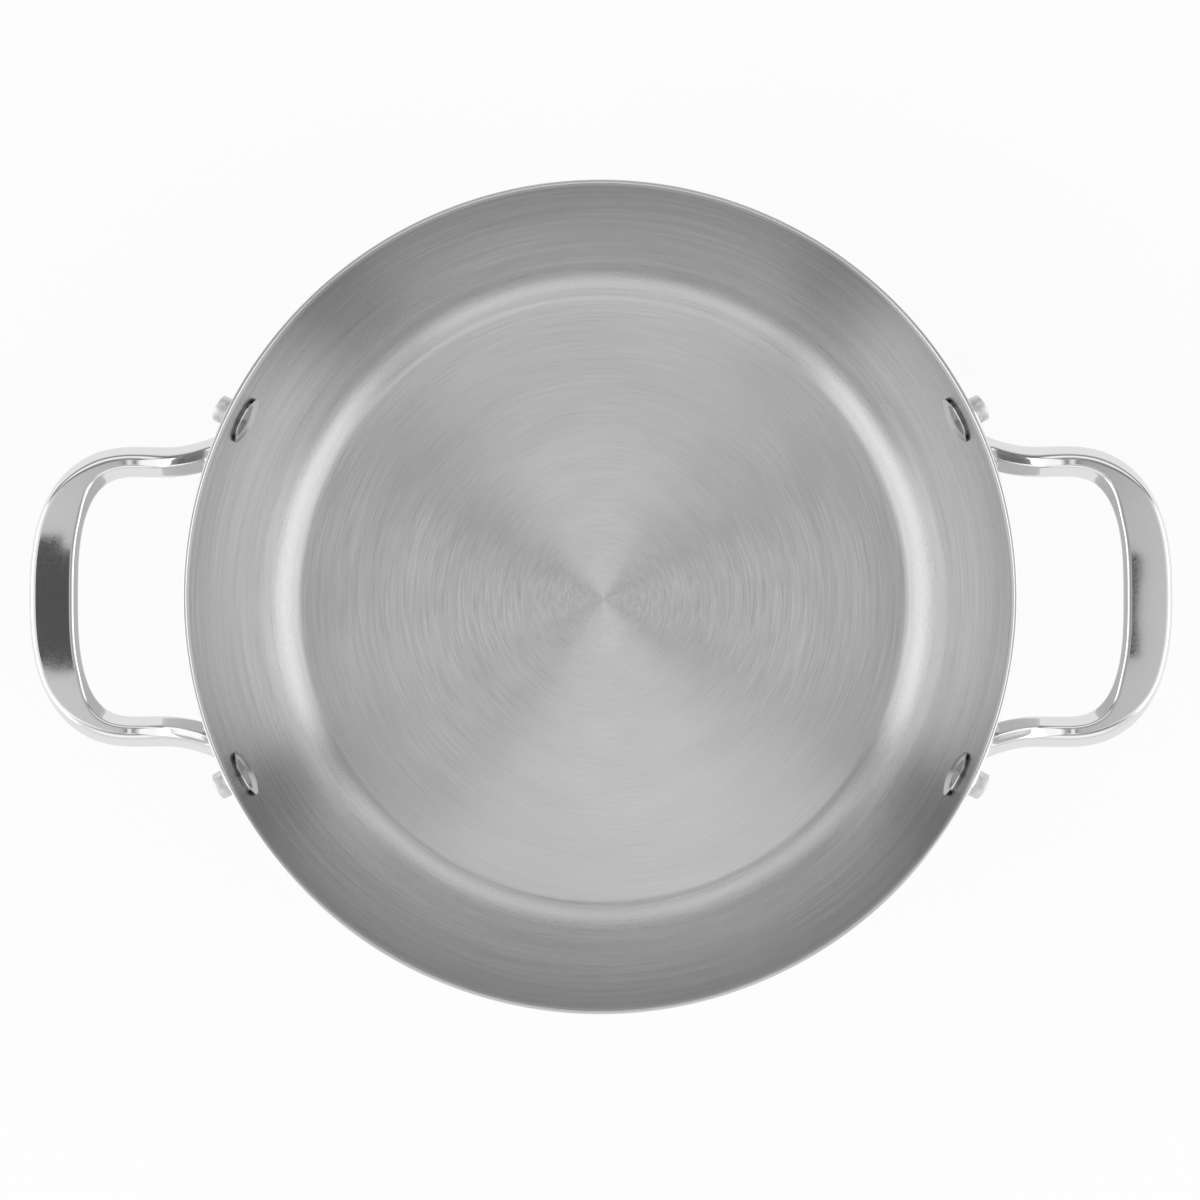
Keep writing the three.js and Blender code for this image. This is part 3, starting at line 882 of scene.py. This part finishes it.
def makeHandles():
    half, starts = footRings()
    half += legRings(starts) + cornerRings()
    flip = Matrix.Diagonal((1, -1, 1))
    otherHalf = [[flip @ p for p in ring] for ring in reversed(half[:-1])]
    tip = onWall(footMiddle, 0.0)
    vertices, faces = skinned(half + otherHalf, tip, flip @ tip)
    material = polishedSteel("handleSteel", handle["finish"])
    for side, turn in (("right", 0.0), ("left", math.pi)):
        spin = Matrix.Rotation(turn, 3, "Z")
        name = "handle_" + side
        placed = [spin @ p for p in vertices]
        addPiece(name + "_casting", placed, faces, [material], [0] * len(faces), [name])


makeHandles()
print("handles cast")


# rivets: a wide domed head inside, the shank, and a small upset head on the foot
rivet = dict(
    shank=0.006,
    headDiameter=0.0141, headHeight=0.0025, headEdge=0.0008, headRound=0.0003, backRound=0.0007,
    upsetDiameter=handle["headDiameter"], upsetHeight=0.0051, upsetEdge=0.0042, upsetRound=0.0004,
    sink=0.0003,                 # how deep the heads bed in
    turns=64, domeSteps=12, roundSteps=4,
    edgeStart=80,                # degrees, where the dome runs into the rounded edge
    head=dict(ripples=160, marks=1800, dark=(0.52, 0.52, 0.517), light=(0.58, 0.58, 0.577),
              rough=(0.06, 0.12), bump=0.05, depth=0.0002),
    edge=dict(ripples=160, marks=1800, dark=(0.16, 0.16, 0.158), light=(0.24, 0.24, 0.237),
              rough=(0.15, 0.25), bump=0.05, depth=0.0002),     # painted shade: the dark ring round the head stands in for the shadow of the gap at the wall
    upset=dict(ripples=160, marks=1800, dark=(0.66, 0.66, 0.657), light=(0.72, 0.72, 0.717),
               rough=(0.4, 0.5), bump=0.05, depth=0.0002),
)


# outline of a low head: axis, dome, rounded edge, side; heights count away from the seat
def headOutline(diameter, height, edge, edgeRound):
    radius = diameter / 2
    rise = height - edge
    sphere = (radius * radius + rise * rise) / (2 * rise)
    points = []
    for i in range(rivet["domeSteps"]):
        angle = math.asin((radius - edgeRound) / sphere) * i / (rivet["domeSteps"] - 1)
        points.append((sphere * math.sin(angle), height - sphere * (1 - math.cos(angle))))
    middle = (radius - edgeRound, points[-1][1] - edgeRound)
    points += arc(middle, edgeRound, rivet["edgeStart"], 0, rivet["roundSteps"])
    return points


def makeRivets():
    wallHollow = (rivet["headDiameter"] / 2) ** 2 / (2 * innerRadiusAt(rivetFlat.y))
    innerSeat = -pot["wall"] / 2 - wallHollow
    outerSeat = pot["wall"] / 2 + handle["footGap"] + handle["footThickness"]
    head = headOutline(rivet["headDiameter"], rivet["headHeight"], rivet["headEdge"], rivet["headRound"])
    upset = headOutline(rivet["upsetDiameter"], rivet["upsetHeight"], rivet["upsetEdge"],
                        rivet["upsetRound"])
    shank = rivet["shank"] / 2
    headEnd = innerSeat + wallHollow + rivet["sink"]
    upsetEnd = outerSeat - rivet["sink"]
    back = rivet["backRound"]
    headLine = [(r, innerSeat - h) for r, h in head]
    backLine = arc((rivet["headDiameter"] / 2 - back, headEnd - back), back, 0, 90, rivet["roundSteps"])
    # finishes: 0 dome, 1 edge painted dark as the shade of the gap at the wall, 2 shank and upset head
    outline = [(r, z, 0) for r, z in headLine[:-1]]
    outline += [(r, z, 1) for r, z in headLine[-1:] + backLine]
    outline += [(shank, headEnd, 2), (shank, upsetEnd, 2), (rivet["upsetDiameter"] / 2, upsetEnd, 2)]
    outline += [(r, outerSeat + h, 2) for r, h in reversed(upset)]
    vertices, faces, finishes = turned(outline, rivet["turns"])
    # the edge's material is painted shade, a dark ring for the shadow of the gap round the head
    materials = [polishedSteel("rivetSteel", rivet["head"]), polishedSteel("rivetEdgePaintedShade", rivet["edge"]),
                 polishedSteel("upsetSteel", rivet["upset"])]
    outward = Vector((math.cos(taper), 0, -math.sin(taper)))
    upright = Vector((0, 0, 1)).rotation_difference(outward).to_matrix()
    seat = Vector(((outerRadiusAt(rivetFlat.y) + innerRadiusAt(rivetFlat.y)) / 2, 0, rivetFlat.y))
    angle = rivetFlat.x / footFace
    places = dict(right_rear=angle, right_front=-angle,
                  left_front=math.pi + angle, left_rear=math.pi - angle)
    for place, turn in places.items():
        spin = Matrix.Rotation(turn, 3, "Z")
        placed = [spin @ (seat + upright @ Vector(p)) for p in vertices]
        name = "rivet_" + place
        addPiece(name + "_domed", placed, faces, materials, finishes, [name])


makeRivets()
print("rivets set")

# every face points outward
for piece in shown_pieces():
    if "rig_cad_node" in piece:
        continue
    work = bmesh.new()
    work.from_mesh(piece.data)
    bmesh.ops.recalc_face_normals(work, faces=work.faces)
    work.to_mesh(piece.data)
    work.free()
